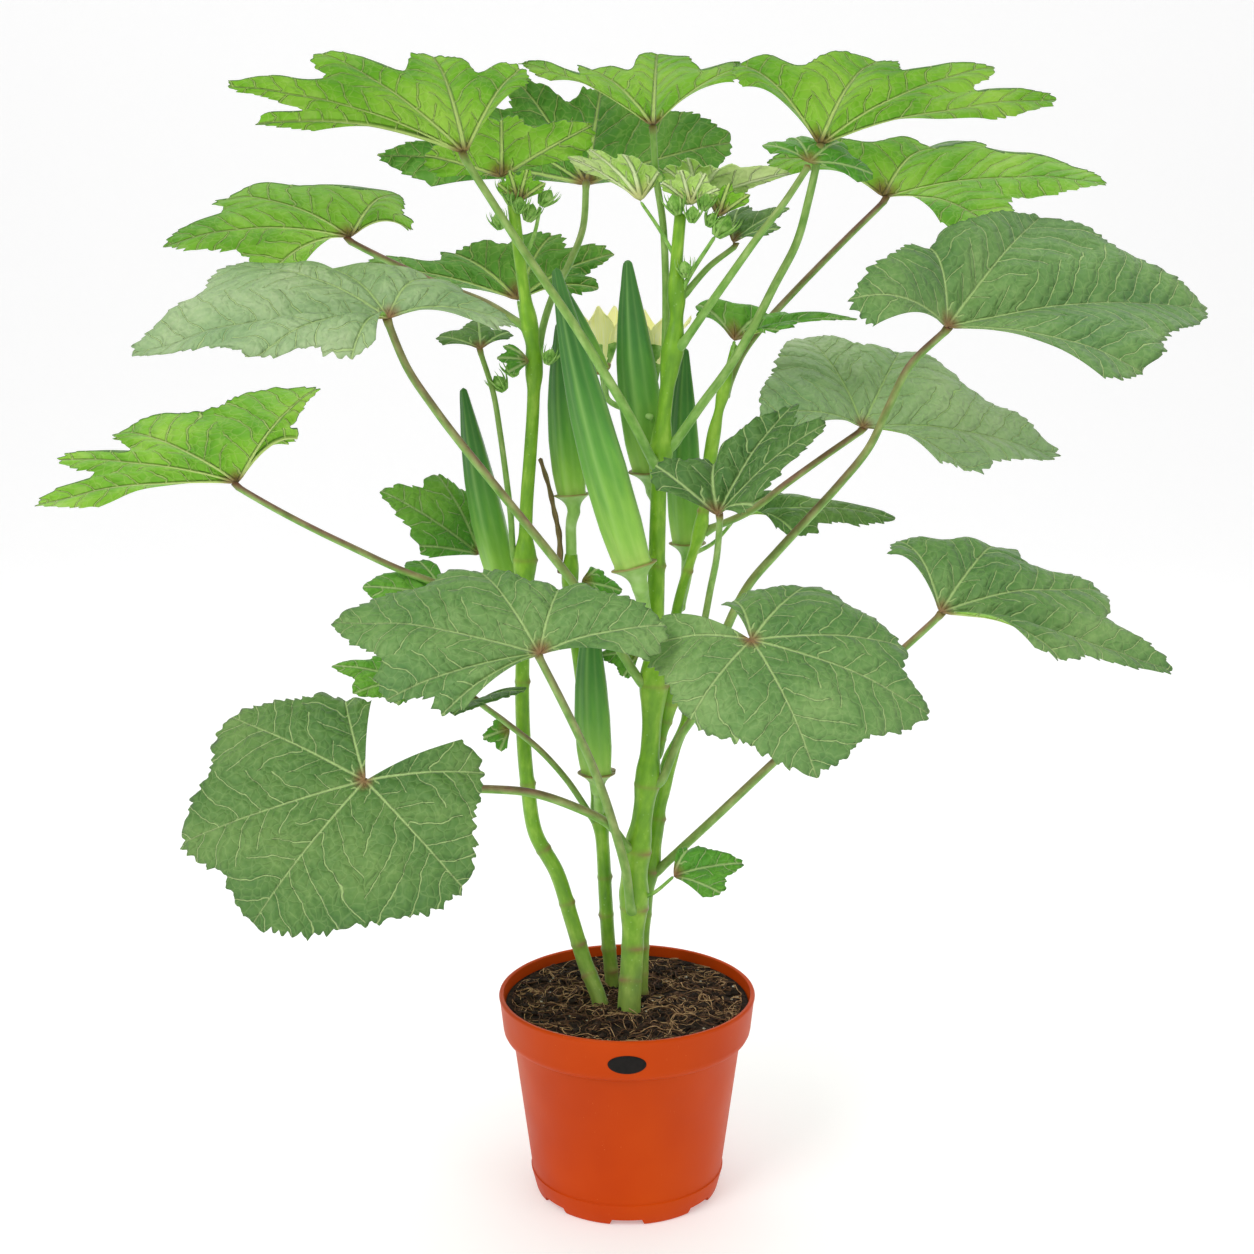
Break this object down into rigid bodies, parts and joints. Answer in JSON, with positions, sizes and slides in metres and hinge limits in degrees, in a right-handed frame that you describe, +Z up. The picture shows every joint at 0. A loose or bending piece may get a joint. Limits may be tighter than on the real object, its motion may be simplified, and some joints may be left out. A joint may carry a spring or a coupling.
{
  "type": "potted okra plant",
  "caption": "Okra plant in a plastic nursery pot: slender stems with lobed leaves on long stalks, ridged upright pods, a pale flower, and soil with roots",
  "frame": {"origin": "the middle of the pot's foot, on the floor it stands on", "axes": "+Z up along the pot's axis, -Y the plant's front, +X to its right seen from the front"},
  "size_m": [0.5862, 0.2509, 0.5984],
  "materials": {
    "pot": "moulded polypropylene nursery pot, terracotta orange, faint sheen and light scuffs",
    "soil": "moist peat potting soil matted with curly roots",
    "stem": "smooth green living stem with leaf scars",
    "leaf_stalk": "green leaf stalk flushed purple-brown on its upper side",
    "dry_stalk": "dry brown flower stalk",
    "leaf": "matt veined living leaf, bluish green above and bright yellow-green below",
    "pod": "velvety ridged okra pod, dark green at the tip and yellow-green at the base",
    "petal": "thin pale yellow petals, matt",
    "young_growth": "pale green hairy buds and young leaves"
  },
  "bodies": {
    "root": {"pot": "pot", "soil": "soil", "stem_left": "stem", "stem_middle": "stem", "stem_main": "stem", "stem_right": "stem", "branch_right": "stem", "stalk_low_left": "leaf_stalk", "stalk_front_left": "leaf_stalk", "stalk_front_right": "leaf_stalk", "stalk_low_right": "leaf_stalk", "stalk_high_right": "leaf_stalk", "stalk_mid_right": "leaf_stalk", "stalk_folded": "leaf_stalk", "stalk_far_right": "leaf_stalk", "stalk_top_right": "leaf_stalk", "stalk_crown_right": "leaf_stalk", "stalk_top_centre": "leaf_stalk", "stalk_top_back": "leaf_stalk", "stalk_top_left": "leaf_stalk", "stalk_high_far_left": "leaf_stalk", "stalk_high_left": "leaf_stalk", "stalk_small_left": "leaf_stalk", "stalk_mid_far_left": "leaf_stalk", "stalk_under_left": "leaf_stalk", "stalk_crown_small": "leaf_stalk", "dry_stalk": "dry_stalk", "leaf_low_left": "leaf", "leaf_front_left": "leaf", "leaf_front_right": "leaf", "leaf_low_right": "leaf", "leaf_high_right": "leaf", "leaf_mid_right": "leaf", "leaf_folded": "leaf", "leaf_small_right": "leaf", "leaf_far_right": "leaf", "leaf_top_right": "leaf", "leaf_top_centre": "leaf", "leaf_top_back": "leaf", "leaf_top_left": "leaf", "leaf_top_inner": "leaf", "leaf_high_far_left": "leaf", "leaf_high_left": "leaf", "leaf_high_back": "leaf", "leaf_small_left": "leaf", "leaf_mid_far_left": "leaf", "leaf_mid_left": "leaf", "leaf_under_left": "leaf", "leaf_base_small": "leaf", "leaf_inner_right": "leaf", "leaf_crown_small": "leaf", "pod_front": "pod", "pod_back": "pod", "pod_tall": "pod", "pod_right": "pod", "pod_left": "pod", "pod_low": "pod", "pod_young": "pod", "flower_bud": "petal", "growing_tip": "young_growth"}
  },
  "joints": []
}
